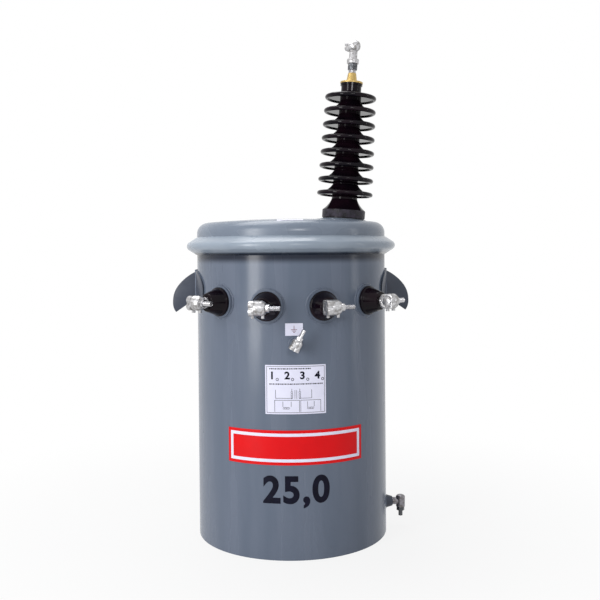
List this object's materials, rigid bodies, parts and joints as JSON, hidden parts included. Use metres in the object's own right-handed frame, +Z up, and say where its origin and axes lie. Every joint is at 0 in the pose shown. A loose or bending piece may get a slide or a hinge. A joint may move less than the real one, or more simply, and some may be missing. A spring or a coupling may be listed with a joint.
{
  "type": "pole mounted transformer",
  "caption": "Round oil tank with clamped cover, tall shedded bushing on top, short front bushings, hooked lifting lugs and pole hangers.",
  "frame": {"origin": "on the tank's axis, in the plane that the tank stands on", "axes": "+Z up along the tank, -Y to the low voltage side, +Y to the pole, +X to the tall bushing"},
  "size_m": [0.5944, 0.6091, 1.2297],
  "materials": {
    "tank_enamel": "gloss",
    "gasket_rubber": "matte",
    "brown_porcelain": "gloss",
    "cap_brass": "satin",
    "dark_steel": "satin",
    "tinned_bronze": "satin",
    "core_steel": "matte",
    "coil_paper": "matte"
  },
  "bodies": {
    "root": {"band_bolt": "dark_steel", "coils": "coil_paper", "core": "core_steel", "cover_band": "tank_enamel", "cover_gasket": "gasket_rubber", "ground_bolt": "tinned_bronze", "ground_boss": "tank_enamel", "ground_clamp": "tinned_bronze", "ground_stud": "tinned_bronze", "hanger_lower": "tank_enamel", "hanger_upper": "tank_enamel", "hv_cap": "cap_brass", "hv_clamp": "tinned_bronze", "hv_connector": "tinned_bronze", "hv_gasket": "gasket_rubber", "hv_nut": "dark_steel", "hv_porcelain": "brown_porcelain", "hv_seat": "tank_enamel", "hv_stud": "tinned_bronze", "lifting_lug_left": "tank_enamel", "lifting_lug_right": "tank_enamel", "lv_bolt_1": "tinned_bronze", "lv_bolt_2": "tinned_bronze", "lv_bolt_3": "tinned_bronze", "lv_bolt_4": "tinned_bronze", "lv_clamp_1": "tinned_bronze", "lv_clamp_2": "tinned_bronze", "lv_clamp_3": "tinned_bronze", "lv_clamp_4": "tinned_bronze", "lv_porcelain_1": "brown_porcelain", "lv_porcelain_2": "brown_porcelain", "lv_porcelain_3": "brown_porcelain", "lv_porcelain_4": "brown_porcelain", "lv_seat_1": "tank_enamel", "lv_seat_2": "tank_enamel", "lv_seat_3": "tank_enamel", "lv_seat_4": "tank_enamel", "lv_stud_1": "tinned_bronze", "lv_stud_2": "tinned_bronze", "lv_stud_3": "tinned_bronze", "lv_stud_4": "tinned_bronze", "side_bolt": "tinned_bronze", "side_boss": "tank_enamel", "side_fitting": "tinned_bronze", "tank_bottom": "tank_enamel", "tank_cover": "tank_enamel", "tank_wall": "tank_enamel"}
  },
  "joints": []
}
